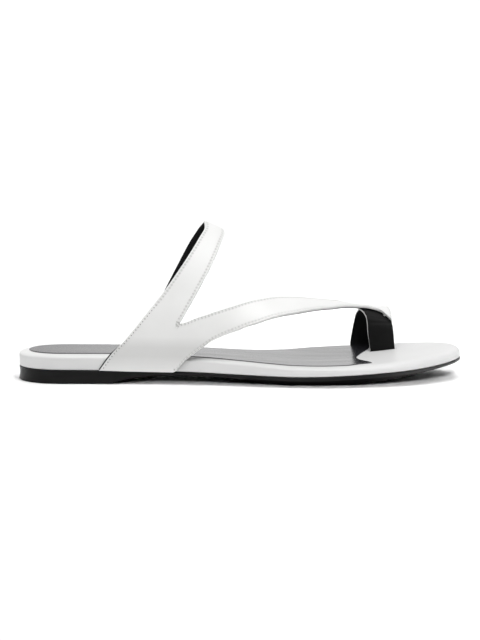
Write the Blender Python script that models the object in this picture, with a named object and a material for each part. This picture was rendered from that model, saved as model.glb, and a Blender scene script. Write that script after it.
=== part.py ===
"""Flat sandal for the right foot: outsole with a low heel, wrapped footbed, insole, strap upper and toe post.

Tables and named sizes are in millimetres. Stations run from the back of the heel (0) to the tip of the toe,
y is negative on the outer side of the foot and positive on the inner side, and z is up from the floor. The
girth is the share of the way over the last, from the outer edge of the sole (0) over the crest to the inner
edge (1).
"""

from collections import namedtuple

import bmesh
import bpy
import numpy as np

Table = namedtuple("Table", "columns rows")

# Main sizes
LENGTH = 250.0
ROW_Y = 2.35
METRE = 0.001
GAP = 0.3
STRAP_WALL = 1.8
POST_WALL = 1.5
INSOLE_WALL = 0.5
INSOLE_RIM = 5.5
BED_INSET = 0.5
BED_ROUND = 2.0
BED_ROUND_SHARE = 0.45
BED_REACH = 4.5
BED_FOOT = 0.5
SOLE_EDGE = 0.3

# Rim of the bed's top, from its inner end to the side: distance in and depth, as shares of the rounding
BED_RIM = Table(
    ("reach", "down"),
    (
        (1.0, 0.0),
        (0.55, 0.11),
        (0.2, 0.4),
        (0.0, 1.0),
    ),
)

# Plan of the sole: the heel and the toe are rounded off over these lengths
TIP_Y = 6.0
HEEL_CAP = 27.0
HEEL_POWER = 2.2
OUTER_CAP = 80.0
OUTER_POWER = 2.3
INNER_CAP = 60.0
INNER_POWER = 2.5

# Back of the heel: the wall is drawn in above its bottom lip
HEEL_BACK = 22.0
HEEL_PINCH = 0.5
HEEL_TOP_IN = 0.2
HEEL_BED_IN = -0.3
HEEL_PINCH_SHARE = 0.55

# Tip of the toe: the bed reaches almost to the edge of the sole
TOE_FRONT = 15.0
TOE_BED_IN = -0.4

# The bed is a little higher on the inner side of the forefoot
RISE = 1.0
RISE_FROM = 135.0
RISE_TO = 165.0
RISE_HALF = 45.0

# Slot in the footbed that takes the toe post: y of its two sides at the rear end and at the front end
SLOT_STATION = (199.2, 214.6)
SLOT_Y = ((15.75, 18.25), (19.0, 21.5))
SLOT_Z = (2.0, 22.0)

# Mesh density
OUTLINE_POINTS = 112
LADDER_STEPS = 4
INSTEP_STEPS = 34
INSTEP_ACROSS = 5
TOE_STEPS = 76
TOE_ACROSS = 10
POST_STEPS = 32
POST_ACROSS = 4
FRONT_POINTS = 81
CAP_IN = 9.0
TREAD_IN = 5.0
PAST_TOE = 10.0
ARC_STEPS = 40

# Sole by station: half widths, and heights of the tread, of the edges of the sole's side, and of the bed
SOLE = Table(
    ("station", "outer", "inner", "tread", "edge", "bevel", "sole_top", "bed_top"),
    (
        (0, 26.0, 26.0, 0.0, 0.5, 0.5, 7.6, 16.2),
        (25, 26.0, 26.0, 0.0, 0.5, 0.5, 7.5, 16.2),
        (52, 26.4, 25.2, 0.0, 0.5, 0.5, 7.4, 16.2),
        (60, 26.8, 24.6, 2.0, 2.6, 0.8, 7.4, 16.1),
        (74, 28.0, 23.6, 4.3, 4.9, 1.2, 7.3, 15.8),
        (88, 29.5, 23.0, 4.9, 5.6, 2.0, 7.2, 15.4),
        (105, 32.0, 22.3, 4.5, 5.2, 4.0, 6.8, 14.8),
        (125, 36.3, 24.5, 2.8, 4.4, 8.0, 6.2, 13.5),
        (142, 41.0, 30.5, 0.9, 4.1, 10.5, 5.9, 12.4),
        (155, 43.6, 38.0, 0.0, 3.9, 12.0, 5.8, 11.7),
        (170, 44.5, 44.5, 0.0, 4.0, 12.5, 6.0, 11.5),
        (185, 44.0, 47.5, 0.0, 4.6, 12.0, 6.5, 11.8),
        (200, 44.0, 47.5, 1.9, 5.5, 10.0, 7.3, 12.5),
        (220, 44.0, 47.5, 5.2, 7.0, 7.5, 8.5, 14.2),
        (235, 44.0, 47.5, 7.6, 8.5, 4.5, 9.9, 15.9),
        (250, 44.0, 47.5, 10.1, 10.5, 3.0, 11.7, 18.0),
    ),
)

# Last by station: the outer foot of its arch (held at the bed's edge up to the ball, then drawn in to the
# side of the big toe), the crest at the instep and along the toes, and how full each half of the section is
LAST = Table(
    ("station", "foot", "crest_y", "crest_z", "outer_power", "inner_power"),
    (
        (40, -60.0, 2.0, 111.0, 1.65, 2.2),
        (75, -60.0, 2.0, 101.0, 1.65, 2.2),
        (105, -60.0, 3.0, 87.1, 1.62, 2.2),
        (115, -60.0, 3.0, 82.3, 1.6, 2.2),
        (125, -60.0, 4.0, 68.0, 1.6, 2.1),
        (140, -60.0, 6.0, 56.0, 1.65, 2.0),
        (153, -60.0, 9.0, 49.3, 1.75, 2.0),
        (168, -44.0, 15.0, 43.0, 2.0, 2.2),
        (176, -36.0, 18.0, 40.8, 2.3, 2.2),
        (185, -10.0, 23.0, 38.7, 2.9, 2.2),
        (192, 9.0, 28.0, 37.1, 3.0, 2.2),
        (198, 15.6, 31.0, 36.5, 2.9, 2.2),
        (204, 17.2, 32.0, 35.7, 2.7, 2.2),
        (216, 19.6, 33.0, 34.8, 2.5, 2.2),
    ),
)

# Instep strap, from its outer base over the crest to its inner base. Row 4 is the fork with the toe strap
INSTEP_FORK = 4
INSTEP = Table(
    ("row", "rear_station", "rear_girth", "front_station", "front_girth"),
    (
        (0, 46.5, 0.000, 70.0, 0.000),
        (1, 53.6, 0.045, 76.5, 0.046),
        (2, 60.3, 0.078, 82.5, 0.080),
        (3, 68.8, 0.130, 88.0, 0.115),
        (4, 77.4, 0.188, 91.4, 0.142),
        (5, 82.8, 0.227, 96.8, 0.197),
        (6, 89.7, 0.288, 102.4, 0.261),
        (7, 96.0, 0.353, 108.8, 0.344),
        (8, 101.2, 0.419, 113.3, 0.426),
        (9, 104.9, 0.485, 115.4, 0.493),
        (10, 103.9, 0.533, 114.8, 0.529),
        (11, 100.8, 0.576, 112.7, 0.582),
        (12, 96.4, 0.627, 109.4, 0.642),
        (13, 90.0, 0.705, 102.8, 0.722),
        (14, 82.9, 0.786, 96.4, 0.804),
        (15, 75.8, 0.865, 90.5, 0.880),
        (16, 68.6, 0.941, 87.0, 0.951),
        (17, 65.0, 1.000, 86.0, 1.000),
    ),
)

# Toe strap, from the fork across the toes, over the big toe and down to the inner edge of the sole
TOE_STRAP = Table(
    ("row", "rear_station", "rear_girth", "front_station", "front_girth"),
    (
        (0, 91.4, 0.142, 70.0, 0.000),
        (1, 95.3, 0.150, 79.0, 0.000),
        (2, 99.5, 0.163, 87.8, 0.000),
        (3, 103.0, 0.174, 95.0, 0.036),
        (4, 106.5, 0.183, 102.5, 0.070),
        (5, 111.0, 0.197, 110.0, 0.104),
        (6, 113.4, 0.204, 113.5, 0.116),
        (7, 116.4, 0.216, 117.7, 0.133),
        (8, 119.5, 0.234, 122.0, 0.155),
        (9, 124.6, 0.271, 128.9, 0.191),
        (10, 130.0, 0.304, 136.0, 0.223),
        (11, 135.6, 0.336, 142.7, 0.257),
        (12, 141.0, 0.367, 149.0, 0.284),
        (13, 145.8, 0.395, 154.6, 0.306),
        (14, 150.5, 0.418, 160.0, 0.333),
        (15, 160.0, 0.476, 171.0, 0.398),
        (16, 168.0, 0.543, 180.0, 0.426),
        (17, 174.5, 0.587, 187.1, 0.436),
        (18, 180.2, 0.606, 193.6, 0.441),
        (19, 185.2, 0.600, 200.0, 0.429),
        (20, 189.8, 0.588, 205.0, 0.406),
        (21, 193.4, 0.590, 209.0, 0.357),
        (22, 195.2, 0.607, 211.8, 0.318),
        (23, 194.8, 0.629, 211.7, 0.389),
        (24, 193.6, 0.651, 210.7, 0.483),
        (25, 192.3, 0.692, 210.9, 0.597),
        (26, 191.3, 0.760, 212.3, 0.693),
        (27, 190.2, 0.839, 212.8, 0.809),
        (28, 189.2, 0.917, 213.0, 0.905),
        (29, 188.6, 1.000, 212.6, 1.000),
    ),
)

# Toe post, from its tail in the slot to its top under the toe strap
TOE_POST = Table(
    ("girth", "rear_station", "front_station"),
    (
        (0.006, 200.0, 213.9),
        (0.070, 199.8, 213.8),
        (0.142, 199.1, 213.4),
        (0.220, 198.4, 213.0),
        (0.276, 198.2, 212.6),
        (0.333, 197.8, 211.8),
        (0.383, 196.6, 211.0),
        (0.435, 195.0, 210.4),
        (0.510, 193.0, 209.5),
    ),
)

# Front edge of the insole, across the foot
INSOLE_FRONT = Table(
    ("y", "station"),
    (
        (-50, 172.0),
        (-38.8, 183.0),
        (-36.4, 186.7),
        (-33, 191.8),
        (-30.6, 198.5),
        (-26, 197.4),
        (-20, 194.2),
        (-12, 191.4),
        (-5, 190.8),
        (8, 193.3),
        (18, 196.4),
        (30, 199.4),
        (54, 201.0),
    ),
)

MATERIALS = {
    "black_rubber": ((0.022, 0.022, 0.024, 1.0), 0.45),
    "white_wrap": ((0.84, 0.83, 0.81, 1.0), 0.42),
    "black_sock": ((0.035, 0.035, 0.036, 1.0), 0.35),
    "white_leather": ((0.86, 0.85, 0.83, 1.0), 0.40),
    "black_leather": ((0.020, 0.020, 0.021, 1.0), 0.40),
}


def along(table, name, at):
    """A column's value at a place along the first column, on a smooth curve through its rows."""
    places = np.array([row[0] for row in table.rows], float)
    values = np.array([row[table.columns.index(name)] for row in table.rows], float)
    step = np.diff(places)
    rise = np.diff(values) / step
    keeps = rise[:-1] * rise[1:] > 0
    before = np.where(keeps, rise[:-1], 1.0)
    after = np.where(keeps, rise[1:], 1.0)
    weight_before = 2 * step[1:] + step[:-1]
    weight_after = step[1:] + 2 * step[:-1]
    mean = (weight_before + weight_after) / (weight_before / before + weight_after / after)
    slope = np.concatenate([rise[:1], np.where(keeps, mean, 0.0), rise[-1:]])
    at = np.clip(np.asarray(at, float), places[0], places[-1])
    k = np.clip(np.searchsorted(places, at) - 1, 0, len(step) - 1)
    t = (at - places[k]) / step[k]
    start = (1 + 2 * t) * (1 - t) ** 2 * values[k] + t * (1 - t) ** 2 * step[k] * slope[k]
    end = t * t * (3 - 2 * t) * values[k + 1] + t * t * (t - 1) * step[k] * slope[k + 1]
    return start + end


def rounded(share, power):
    """Half width left at a share of the way into a rounded end."""
    return np.sqrt(1 - np.clip(share, 0, 1) ** power)


def sides(station):
    """Y of the outer and the inner edge of the sole."""
    station = np.asarray(station, float)
    heel = rounded((HEEL_CAP - station) / HEEL_CAP, HEEL_POWER)
    outer = -along(SOLE, "outer", station) * heel - TIP_Y
    inner = along(SOLE, "inner", station) * heel - TIP_Y
    outer_toe = rounded((station - LENGTH + OUTER_CAP) / OUTER_CAP, OUTER_POWER)
    inner_toe = rounded((station - LENGTH + INNER_CAP) / INNER_CAP, INNER_POWER)
    return TIP_Y + outer * outer_toe, TIP_Y + inner * inner_toe


def bed_top(station, y):
    """Height of the footbed's top."""
    share = np.clip((np.asarray(station, float) - RISE_FROM) / (RISE_TO - RISE_FROM), 0, 1)
    return along(SOLE, "bed_top", station) + RISE * share * np.maximum(y, 0) / RISE_HALF


def last(station, girth):
    """Points on the last: up the side of the bed, over the crest and down the other side of the bed."""
    station, girth = np.broadcast_arrays(np.asarray(station, float), np.asarray(girth, float))
    shape = station.shape
    station = station.ravel()
    girth = girth.ravel()
    outer, inner = sides(station)
    outer = np.maximum(outer + BED_INSET - GAP, along(LAST, "foot", station))
    foot = np.stack([outer, inner - BED_INSET + GAP])
    power = 2 / np.stack([along(LAST, "outer_power", station), along(LAST, "inner_power", station)])
    crest_y = along(LAST, "crest_y", station)
    crest_z = along(LAST, "crest_z", station)
    bed = bed_top(station, foot)
    side = bed - along(SOLE, "sole_top", station) - GAP
    angle = np.linspace(0, np.pi / 2, ARC_STEPS + 1)[:, None, None]
    ys = crest_y + (foot - crest_y) * np.cos(angle) ** power
    zs = bed + (crest_z - bed) * np.sin(angle) ** power
    pieces = np.hypot(np.diff(ys, axis=0), np.diff(zs, axis=0))
    run = np.concatenate([np.zeros((1,) + foot.shape), np.cumsum(pieces, axis=0)])
    length = side + run[-1]
    whole = length.sum(axis=0)
    climb = girth * whole
    half = (climb > length[0]).astype(int)
    each = np.arange(len(station))
    climb = np.where(half == 1, whole - climb, climb) - side[half, each]
    mine = run[:, half, each]
    k = np.clip((mine < climb).sum(axis=0) - 1, 0, ARC_STEPS - 1)
    t = np.clip((climb - mine[k, each]) / (mine[k + 1, each] - mine[k, each]), 0, 1)
    turn = (k + t) / ARC_STEPS * np.pi / 2
    foot = foot[half, each]
    bed = bed[half, each]
    power = power[half, each]
    y = crest_y + (foot - crest_y) * np.cos(turn) ** power
    z = bed + (crest_z - bed) * np.sin(turn) ** power + np.minimum(climb, 0)
    return np.stack([station, y, z], -1).reshape(shape + (3,))


def outline(count):
    """Plan of the sole as a loop: along the outer side from heel to tip, and back along the inner side."""
    station = LENGTH * (1 - np.cos(np.linspace(0, np.pi, 2001))) / 2
    halves = []
    for y in sides(station):
        run = np.concatenate([[0], np.cumsum(np.hypot(np.diff(station), np.diff(y)))])
        at = np.linspace(0, run[-1], count // 2 + 1)
        halves.append(np.stack([np.interp(at, run, station), np.interp(at, run, y)], -1))
    return np.concatenate([halves[0][:-1], halves[1][:0:-1]])


def inset(loop, distance):
    """The loop moved inwards."""
    ahead = np.roll(loop, -1, axis=0) - np.roll(loop, 1, axis=0)
    inward = np.stack([-ahead[:, 1], ahead[:, 0]], -1) / np.linalg.norm(ahead, axis=1)[:, None]
    return loop + inward * np.broadcast_to(distance, len(loop))[:, None]


def heel_back(loop):
    """1 at the very back of the heel, fading to 0 along its sides."""
    return np.clip(1 - loop[:, 0] / HEEL_BACK, 0, 1) ** 2


def toe_front(loop):
    """1 at the very tip of the toe, fading to 0 along its sides."""
    return np.clip(1 - (LENGTH - loop[:, 0]) / TOE_FRONT, 0, 1) ** 2


def material(name):
    colour, roughness = MATERIALS[name]
    made = bpy.data.materials.new(name)
    made.use_nodes = True
    shader = made.node_tree.nodes["Principled BSDF"]
    shader.inputs["Base Color"].default_value = colour
    shader.inputs["Roughness"].default_value = roughness
    shader.inputs["Metallic"].default_value = 0.0
    return made


def add(name, points, faces, material_name):
    """A smooth-shaded object from points in millimetres."""
    points = (np.asarray(points, float) - (LENGTH / 2, ROW_Y, 0)) * METRE
    mesh = bpy.data.meshes.new(name)
    mesh.from_pydata(points.tolist(), [], faces)
    mesh.update()
    mesh.polygons.foreach_set("use_smooth", [True] * len(mesh.polygons))
    made = bpy.data.objects.new(name, mesh)
    if material_name:
        mesh.materials.append(material(material_name))
    bpy.context.scene.collection.objects.link(made)
    return made


def face_out(made):
    """Turns every face of a closed mesh outwards."""
    work = bmesh.new()
    work.from_mesh(made.data)
    bmesh.ops.recalc_face_normals(work, faces=work.faces)
    if work.calc_volume(signed=True) < 0:
        bmesh.ops.reverse_faces(work, faces=work.faces)
    work.to_mesh(made.data)
    work.free()


def slab(name, rings, top, bottom, material_name):
    """A solid from loops stacked from its top to its bottom, closed by rungs that follow the two surfaces."""
    count = len(rings[0])
    points = [tuple(point) for ring in rings for point in ring]
    faces = []
    for level in range(len(rings) - 1):
        for i in range(count):
            near = level * count + i
            ahead = level * count + (i + 1) % count
            faces.append((near, ahead, ahead + count, near + count))
    for level, surface in ((0, top), (len(rings) - 1, bottom)):
        first = level * count
        rows = [[first]]
        for i in range(1, count // 2):
            row = [first + i]
            for k in range(1, LADDER_STEPS):
                share = k / LADDER_STEPS
                start = points[first + i]
                end = points[first + count - i]
                x = start[0] + share * (end[0] - start[0])
                y = start[1] + share * (end[1] - start[1])
                row.append(len(points))
                points.append((x, y, float(surface(x, y))))
            row.append(first + count - i)
            rows.append(row)
        rows.append([first + count // 2])
        for low, high in zip(rows[:-1], rows[1:]):
            for k in range(LADDER_STEPS):
                corners = [low[min(k, len(low) - 1)], low[min(k + 1, len(low) - 1)]]
                corners += [high[min(k + 1, len(high) - 1)], high[min(k, len(high) - 1)]]
                faces.append(tuple(dict.fromkeys(corners)))
    made = add(name, points, faces, material_name)
    face_out(made)
    return made


def level(loop, z):
    return np.column_stack([loop, np.broadcast_to(z, len(loop))])


def build_outsole(loop):
    station = loop[:, 0]
    top = along(SOLE, "sole_top", station)
    edge = along(SOLE, "edge", station)
    tread = along(SOLE, "tread", station)
    bevel = along(SOLE, "bevel", station)
    back = heel_back(loop)
    upper_edge = inset(loop, HEEL_TOP_IN * back)
    pinch_z = edge + HEEL_PINCH_SHARE * (top - edge)
    rings = [
        level(inset(upper_edge, CAP_IN), top),
        level(inset(upper_edge, SOLE_EDGE), top),
        level(upper_edge, top - SOLE_EDGE),
        level(inset(loop, HEEL_PINCH * back), pinch_z),
        level(loop, edge),
        level(inset(loop, bevel), tread),
        level(inset(loop, bevel + TREAD_IN), tread),
    ]
    for ring, column in ((rings[0], "sole_top"), (rings[5], "tread"), (rings[6], "tread")):
        ring[:, 2] = along(SOLE, column, ring[:, 0])

    def top_surface(x, y):
        return along(SOLE, "sole_top", x)

    def tread_surface(x, y):
        return along(SOLE, "tread", x)

    return slab("outsole", rings, top_surface, tread_surface, "black_rubber")


def bed_loop(loop, distance):
    """The footbed's plan, drawn in further by a distance."""
    return inset(loop, BED_INSET + HEEL_BED_IN * heel_back(loop) + TOE_BED_IN * toe_front(loop) + distance)


def build_footbed(loop):
    def underside(x, y):
        return along(SOLE, "sole_top", x) + GAP

    def ring(distance, down=None, up=None):
        """A loop at a depth below the top, as a share of the rounding, or at a height above the underside."""
        plan = bed_loop(loop, distance)
        top = bed_top(plan[:, 0], plan[:, 1])
        bottom = underside(plan[:, 0], plan[:, 1])
        if down is None:
            return level(plan, bottom + up)
        return level(plan, top - down * np.minimum(BED_ROUND, BED_ROUND_SHARE * (top - bottom)))

    rings = [ring(CAP_IN, down=0.0)]
    rings += [ring(reach * BED_REACH, down=down) for reach, down in BED_RIM.rows]
    rings += [ring(0.0, up=BED_FOOT), ring(BED_FOOT, up=0.0), ring(CAP_IN, up=0.0)]
    bed = slab("footbed", rings, bed_top, underside, "white_wrap")
    corners = [(x, y, z) for x, ys in zip(SLOT_STATION, SLOT_Y) for y in ys for z in SLOT_Z]
    walls = [(0, 1, 3, 2), (4, 6, 7, 5), (0, 4, 5, 1), (2, 3, 7, 6), (0, 2, 6, 4), (1, 5, 7, 3)]
    cut("slot_cutter", corners, walls, bed)
    return bed


def cut(name, points, faces, target):
    """Takes a closed shape out of a solid."""
    cutter = add(name, points, faces, None)
    face_out(cutter)
    cutter.hide_render = True
    cutter.display_type = "WIRE"
    modifier = target.modifiers.new(name, "BOOLEAN")
    modifier.operation = "DIFFERENCE"
    modifier.solver = "EXACT"
    modifier.object = cutter


def build_insole(loop):
    def lower(x, y):
        return bed_top(x, y) + GAP

    def upper(x, y):
        return lower(x, y) + INSOLE_WALL

    rings = []
    for distance, surface in ((CAP_IN, upper), (0.0, upper), (0.0, lower), (CAP_IN, lower)):
        plan = bed_loop(loop, INSOLE_RIM + distance)
        rings.append(level(plan, surface(plan[:, 0], plan[:, 1])))
    sock = slab("insole", rings, upper, lower, "black_sock")
    ys = np.linspace(INSOLE_FRONT.rows[0][0], INSOLE_FRONT.rows[-1][0], FRONT_POINTS)
    front = np.column_stack([along(INSOLE_FRONT, "station", ys), ys])
    plan = np.concatenate([front, [(LENGTH + PAST_TOE, ys[-1]), (LENGTH + PAST_TOE, ys[0])]])
    count = len(plan)
    points = [(x, y, z) for z in SLOT_Z for x, y in plan]
    faces = [tuple(range(count)), tuple(range(2 * count - 1, count - 1, -1))]
    for i in range(count):
        ahead = (i + 1) % count
        faces.append((i, ahead, ahead + count, i + count))
    cut("front_cutter", points, faces, sock)
    return sock


def strap_rows(table, places, across):
    """Stations and girths of a strap: a row for each place along it, a column for each step across it."""
    share = np.linspace(0, 1, across + 1)
    rows = []
    for what in ("station", "girth"):
        rear = along(table, "rear_" + what, places)[:, None]
        front = along(table, "front_" + what, places)[:, None]
        rows.append(rear + share * (front - rear))
    return rows


def build_upper():
    """Both straps as one sheet on the last, meeting on a line from the fork to the sole, given its wall."""
    fork = np.linspace(0, INSTEP_FORK, TOE_ACROSS + 1)
    rest = np.linspace(INSTEP_FORK, len(INSTEP.rows) - 1, INSTEP_STEPS + 1)
    instep = last(*strap_rows(INSTEP, np.concatenate([fork, rest[1:]]), INSTEP_ACROSS))
    places = np.linspace(0, len(TOE_STRAP.rows) - 1, TOE_STEPS + 1)[1:]
    toe = last(*strap_rows(TOE_STRAP, places, TOE_ACROSS))[:, ::-1]
    points = np.concatenate([instep.reshape(-1, 3), toe.reshape(-1, 3)])
    wide = INSTEP_ACROSS + 1
    instep_index = np.arange(instep.shape[0] * wide).reshape(-1, wide)
    toe_wide = TOE_ACROSS + 1
    toe_index = instep_index.size + np.arange(toe.shape[0] * toe_wide).reshape(-1, toe_wide)
    toe_index = np.concatenate([instep_index[:toe_wide, -1][None], toe_index])
    faces = []
    for i in range(instep_index.shape[0] - 1):
        for j in range(INSTEP_ACROSS):
            low = instep_index[i, j : j + 2].tolist()
            high = instep_index[i + 1, j : j + 2].tolist()
            faces.append((low[0], low[1], high[1], high[0]))
    for i in range(toe_index.shape[0] - 1):
        for j in range(TOE_ACROSS):
            low = toe_index[i, j : j + 2].tolist()
            high = toe_index[i + 1, j : j + 2].tolist()
            faces.append((low[0], high[0], high[1], low[1]))
    made = add("upper", points, faces, "white_leather")
    thicken(made, STRAP_WALL, 1.0)
    return made


def build_toe_post():
    """A strip inside the last, under the toe strap at its top and in the footbed's slot at its foot."""
    girth = np.linspace(TOE_POST.rows[0][0], TOE_POST.rows[-1][0], POST_STEPS + 1)[:, None]
    share = np.linspace(0, 1, POST_ACROSS + 1)
    rear = along(TOE_POST, "rear_station", girth)
    front = along(TOE_POST, "front_station", girth)
    points = last(rear + share * (front - rear), girth)
    index = np.arange(points.size // 3).reshape(-1, POST_ACROSS + 1)
    faces = []
    for i in range(POST_STEPS):
        for j in range(POST_ACROSS):
            low = index[i, j : j + 2].tolist()
            high = index[i + 1, j : j + 2].tolist()
            faces.append((low[0], low[1], high[1], high[0]))
    made = add("toe_post", points.reshape(-1, 3), faces, "black_leather")
    thicken(made, POST_WALL, -1.0 - 2 * GAP / POST_WALL)
    return made


def thicken(sheet, wall, offset):
    """Gives a sheet its wall: an offset of 1 lays it outside, and one below -1 inside with a gap."""
    modifier = sheet.modifiers.new("wall", "SOLIDIFY")
    modifier.thickness = wall * METRE
    modifier.offset = offset
    modifier.use_even_offset = True


for leftover in list(bpy.data.objects):
    bpy.data.objects.remove(leftover, do_unlink=True)
sole_loop = outline(OUTLINE_POINTS)
build_outsole(sole_loop)
build_footbed(sole_loop)
build_insole(sole_loop)
build_upper()
build_toe_post()
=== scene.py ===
"""Looks of a right flat sandal: white straps and footbed, black lining, sock, toe post and sole.

Tables and named sizes are in millimetres, in the same axes as the solids: stations run from the back of the
heel (0) to the tip of the toe, y is negative on the outer side of the foot, and z is up from the floor. The
girth is the share of the way over the last, from the outer edge of the sole (0) over the crest to the inner
edge (1). The studio, and places in materials, are in metres from the middle of the foot.
"""

import math

import bpy
import numpy as np
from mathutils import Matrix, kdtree


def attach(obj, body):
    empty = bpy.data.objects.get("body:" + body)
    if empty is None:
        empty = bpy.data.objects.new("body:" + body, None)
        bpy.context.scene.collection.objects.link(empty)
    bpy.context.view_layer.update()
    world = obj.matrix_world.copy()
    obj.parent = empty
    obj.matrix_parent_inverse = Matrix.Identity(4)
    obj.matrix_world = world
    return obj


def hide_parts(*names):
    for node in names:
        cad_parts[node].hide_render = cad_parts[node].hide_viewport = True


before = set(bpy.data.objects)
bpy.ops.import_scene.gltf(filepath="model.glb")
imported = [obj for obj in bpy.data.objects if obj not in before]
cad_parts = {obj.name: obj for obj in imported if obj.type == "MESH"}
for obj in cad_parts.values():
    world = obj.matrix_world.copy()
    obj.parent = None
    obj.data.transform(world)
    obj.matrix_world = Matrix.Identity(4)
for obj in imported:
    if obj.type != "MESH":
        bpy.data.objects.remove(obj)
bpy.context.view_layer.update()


class Table:
    """Rows of numbers under named columns."""

    def __init__(self, columns, *rows):
        self.columns = columns.split()
        self.rows = rows


# Main sizes
METRE = 0.001
LENGTH = 250.0
ROW_Y = 2.35
GAP = 0.3
STRAP_WALL = 1.8
LINING_WALL = 0.5
POST_WALL = 1.5
POST_CORE = 0.8
SOCK_WALL = 0.42
SOCK_LIFT = 0.03
INSOLE_RIM = 5.5
BED_INSET = 0.5
BED_ROUND = 2.0
BED_ROUND_SHARE = 0.45
BED_REACH = 4.5
BED_FOOT = 0.5
SOLE_EDGE = 0.3

# The footbed's rim is softer towards the toe, where its rounding takes this share of the side
TOE_ROUND_STATION = (170.0, 215.0)
TOE_ROUND_SHARE = 0.8

# Flat tops and bottoms of the sole's layers: how far in from an edge their rings lie
CAP_IN = 9.0
SOLE_TOP_IN = 0.8
TREAD_IN = 5.0

# Plan of the sole: the heel and the toe are rounded off over these lengths
TIP_Y = 6.0
HEEL_CAP = 27.0
HEEL_POWER = 2.2
OUTER_CAP = 80.0
OUTER_POWER = 2.3
INNER_CAP = 60.0
INNER_POWER = 2.5

# Back of the heel: the wall is drawn in above its bottom lip
HEEL_BACK = 22.0
HEEL_PINCH = 0.5
HEEL_TOP_IN = 0.2
HEEL_BED_IN = -0.3
HEEL_PINCH_SHARE = 0.55

# Tip of the toe: the bed reaches almost to the edge of the sole
TOE_FRONT = 15.0
TOE_BED_IN = -0.4

# The bed is a little higher on the inner side of the forefoot
RISE = 1.0
RISE_STATION = (135.0, 165.0)
RISE_HALF = 45.0

# Slot in the footbed that takes the toe post: y of its two sides at the rear end and at the front end
SLOT_STATION = (199.2, 214.6)
SLOT_Y = ((15.75, 18.25), (19.0, 21.5))
SLOT_Z = (2.0, 22.0)

# Edges of the leather pieces, and the straps' thinning towards the sole
STRAP_ROUND = 0.55
LINING_ROUND = 0.25
SOCK_ROUND = 0.3
POST_ROUND = 0.3
LAYER_GAP = 0.03
LEATHER_LEAST = 0.1
SKIVE_LENGTH = 7.0
SKIVE_SHARE = 0.5
SKIVE_POWER = 0.7

# Topstitch along the edges of the straps: it keeps clear of other edges and of the sole
STITCH_IN = 1.4
STITCH_PITCH = 2.0
STITCH_GRAIN = 0.1
STITCH_CLEAR = 1.1
BASE_CLEAR = 1.9
THREAD_RADIUS = 0.17
THREAD_CROWN = 0.12
THREAD_DIVE = 0.22
THREAD_POWER = 0.6
TROUGH_DEPTH = 0.08
TROUGH_HALF = 0.45

# Pits at the ends of the stitches, fainter towards the toe, whose colour is painted shade, and needle holes
# where the leather has no pits, shown as dark studs of painted shade
PIT_DEPTH = 0.22
PIT_RADIUS = 0.42
PIT_PAINTED_SHADE = (0.2, 0.2, 0.195)
PIT_FADE_STATION = (112.0, 150.0)
PIT_FADE = 0.35
HOLE_RADIUS = 0.3
HOLE_LIFT = 0.04
HOLE_DEPTH = 0.2

# Bar tack in the fork of the straps: first and last distance in of each stitch, and its distance aside
TACK_LOOK_ROWS = 8
TACK = Table("start end aside", (0.2, 1.5, -0.7), (0.1, 2.0, 0.0), (0.2, 1.5, 0.7))

# Foot of the straps: the white layer laps over the sole's edge, and the black lining is drawn out as a lip
# at the rear edge, a dark sheet of painted shade for the gap between strap and footbed
LAP = 0.45
LAP_FADE = 2.5
LAP_STATION = (46.5, 62.0)
SHADE_LIP = 0.75
SHADE_LIP_Z = (7.5, 8.5, 17.5, 21.5)

# Creases over the bend of the toe post: place along it, slant, half width and depth
POST_CREASES = Table(
    "girth slant half depth",
    (0.215, 0.010, 0.010, 0.10),
    (0.300, -0.014, 0.011, 0.16),
    (0.338, 0.020, 0.010, 0.20),
    (0.372, -0.010, 0.010, 0.24),
    (0.402, 0.024, 0.009, 0.20),
    (0.430, 0.006, 0.010, 0.16),
)

# Leather: clouds of tone, wide swells, and a fine grain that is a share of its cells' size and depth
CLOUD_SIZE = 22.0
CLOUD_DETAIL = 4.0
SWELL_SIZE = 9.0
SWELL_DEPTH = 0.05
FINE_SIZE_SHARE = 0.7
FINE_DEPTH_SHARE = 0.5
FINE_DETAIL = 2.0

# The sock's shine grows between two places along the foot, and is worn in streaks
SHINE_X = (-0.115, -0.03)
SHINE_STRETCH = (0.14, 1.0, 1.0)
SHINE_STREAK = 7.0
SHINE_WEAR = (0.78, 1.12)

# Rubber: smears along the sole on a matt skin, and painted shade where it faces down: its reflection fades
# out by the upright share of its normal
SMEAR_STRETCH = (0.12, 1.0, 1.0)
SMEAR_SIZE = 3.0
SMEAR_DEPTH = 0.04
SKIN_SIZE = 0.5
SKIN_DEPTH = 0.02
DOWN_FACING_SHADE = (-0.3, -0.1)

# Plies of the sewing thread
PLY_SIZE = 0.25
PLY_DEPTH = 0.03
PLY_DETAIL = 2.0

# Painted light and shade: the share of its colour that leather and rubber keep, by height or by place along
# the foot, darker where less light falls and lighter where more falls
# Painted shade: the straps' white leather is darker low down near the sole, where less light falls on it
STRAP_PAINTED_SHADE = Table(
    "z share",
    (0.007, 0.98),
    (0.011, 0.89),
    (0.016, 0.78),
    (0.021, 0.78),
    (0.027, 0.94),
    (0.045, 1.0),
)
# Painted light and shade: the wrapped footbed is darker along the middle of the foot and lighter at the
# heel and the toe, as the light falls on its side
WRAP_PAINTED_SHADE = Table(
    "x share",
    (-0.125, 1.0),
    (-0.105, 0.89),
    (-0.05, 0.88),
    (0.0, 0.86),
    (0.04, 0.84),
    (0.07, 0.88),
    (0.125, 0.93),
)
# Painted light: the rubber keeps a small share of its colour back from the toe and all of it at the toe,
# where more light falls
RUBBER_PAINTED_LIGHT = Table("x share", (-0.125, 0.11), (0.07, 0.11), (0.1, 1.0), (0.125, 1.0))

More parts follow.
